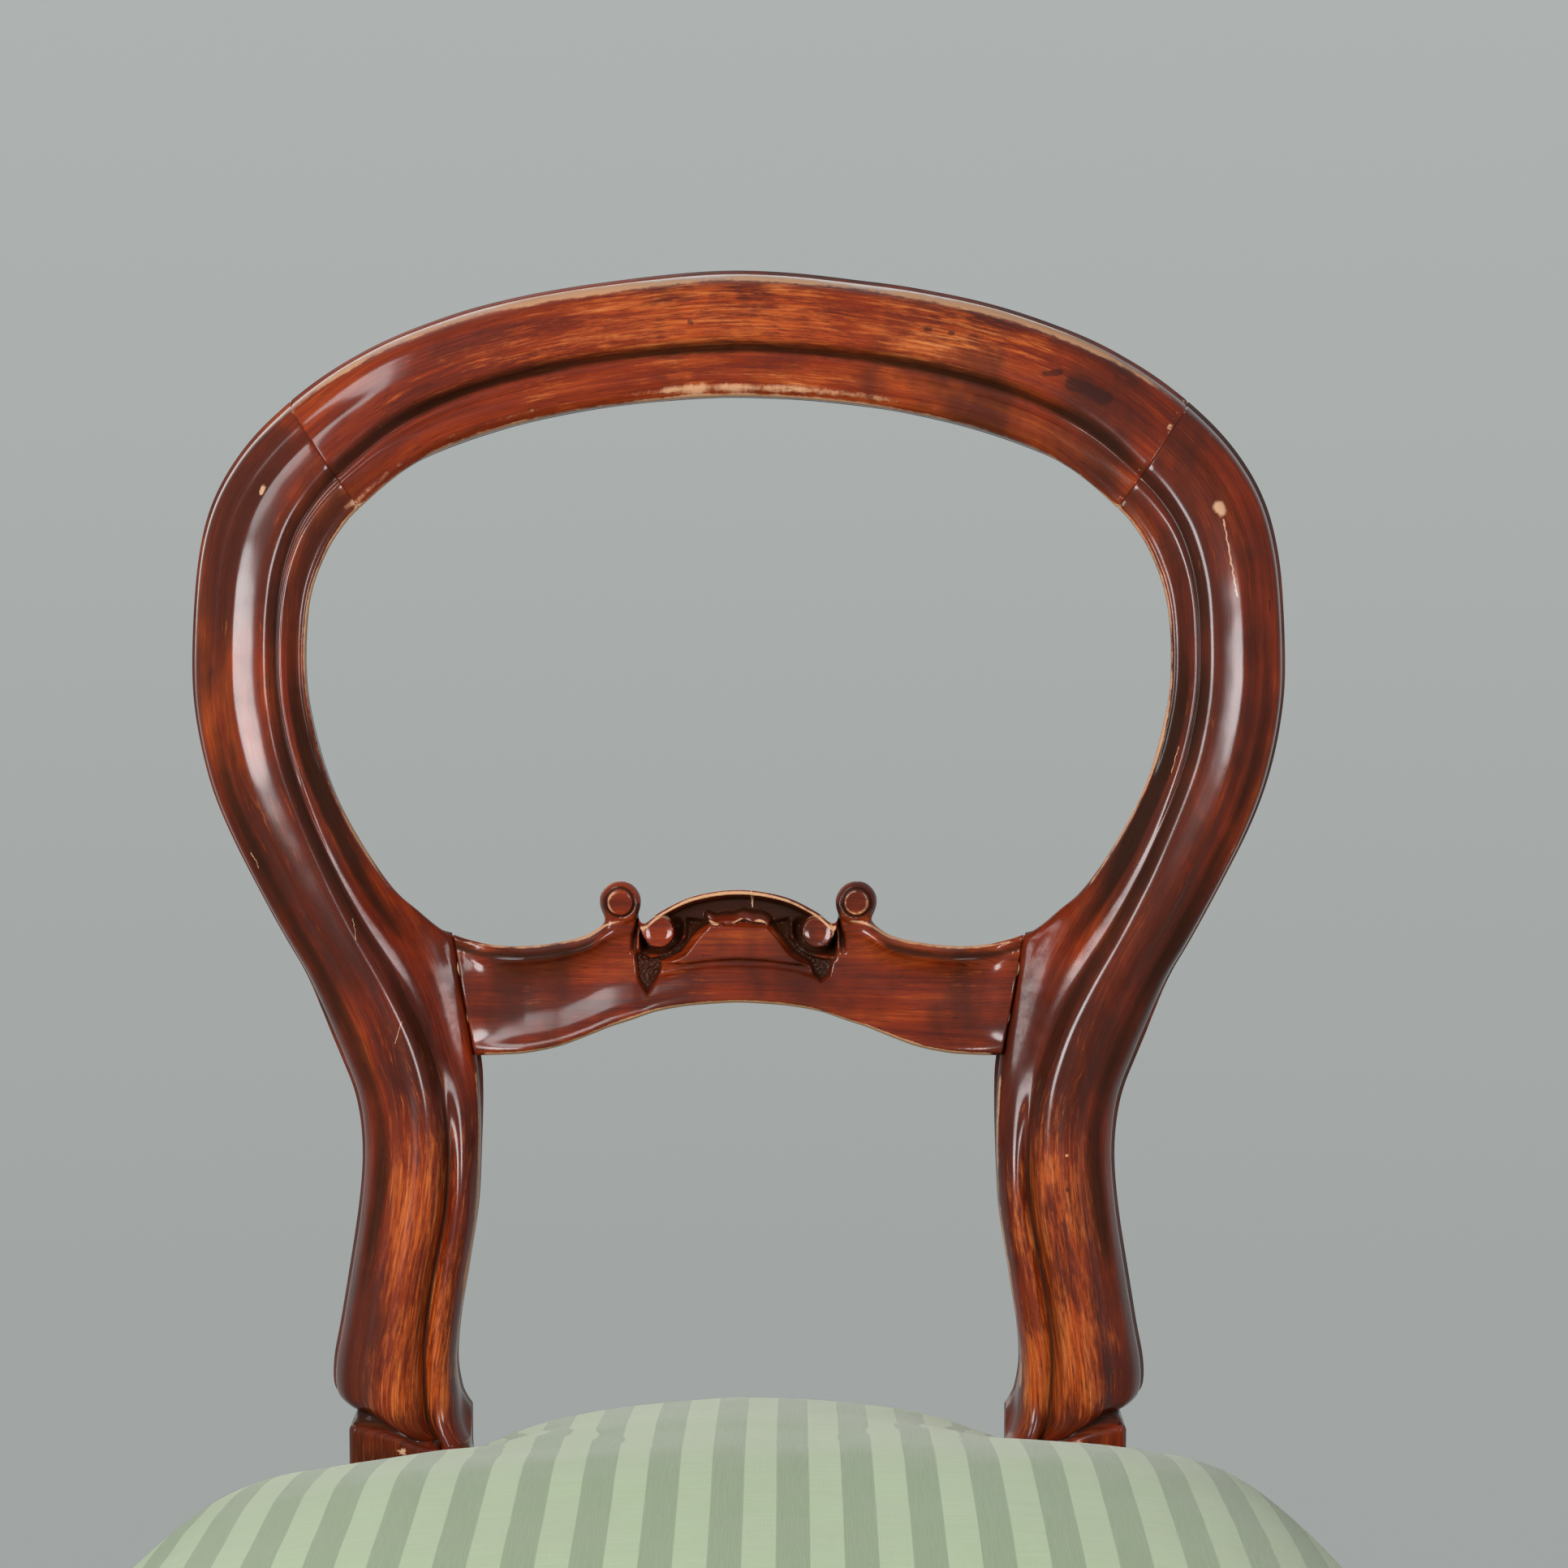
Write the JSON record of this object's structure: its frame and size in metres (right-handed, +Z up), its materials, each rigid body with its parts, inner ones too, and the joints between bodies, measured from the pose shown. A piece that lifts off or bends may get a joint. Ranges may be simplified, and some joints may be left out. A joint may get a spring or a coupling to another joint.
{
  "type": "balloon back dining chair",
  "caption": "Polished wooden dining chair with an open balloon-shaped back, a carved scrolled cross rail, curved front legs and an over-stuffed striped seat.",
  "frame": {"origin": "on the floor, at the middle of the chair's overall width and depth", "axes": "+X to the right seen from the front, +Y from the seat's front to the back, +Z up"},
  "size_m": [0.46, 0.52, 0.88],
  "materials": {
    "polished_wood": "red-brown stained hardwood, glossy shellac polish worn pale along the edges",
    "dowel_wood": "plain turned dowel, glued",
    "raw_wood": "sawn wood, unpolished and darkened",
    "screw_steel": "dull old steel",
    "jute_webbing": "coarse herringbone jute web",
    "tack_steel": "blued steel tack",
    "spring_steel": "coppered spring wire gone dull",
    "hessian": "open plain weave",
    "stuffing": "matted hair and fibre",
    "striped_cover": "sage green cotton in tone-on-tone satin stripes",
    "gimp": "woven braid in the cover's green"
  },
  "bodies": {
    "root": {"left_back_post": "polished_wood", "right_back_post": "polished_wood", "crest_rail": "polished_wood", "cross_rail": "polished_wood", "crest_dowels": "dowel_wood", "cross_rail_dowels": "dowel_wood", "front_seat_rail": "polished_wood", "left_seat_rail": "polished_wood", "right_seat_rail": "polished_wood", "back_seat_rail": "polished_wood", "left_front_leg": "polished_wood", "right_front_leg": "polished_wood", "seat_rail_dowels": "dowel_wood", "front_left_corner_block": "raw_wood", "front_right_corner_block": "raw_wood", "rear_left_corner_block": "raw_wood", "rear_right_corner_block": "raw_wood", "corner_block_screws": "screw_steel", "webbing_front_to_back": "jute_webbing", "webbing_side_to_side": "jute_webbing", "webbing_tacks": "tack_steel", "seat_springs": "spring_steel", "spring_hessian": "hessian", "seat_stuffing": "stuffing", "seat_cover": "striped_cover", "gimp_braid": "gimp"}
  },
  "joints": []
}
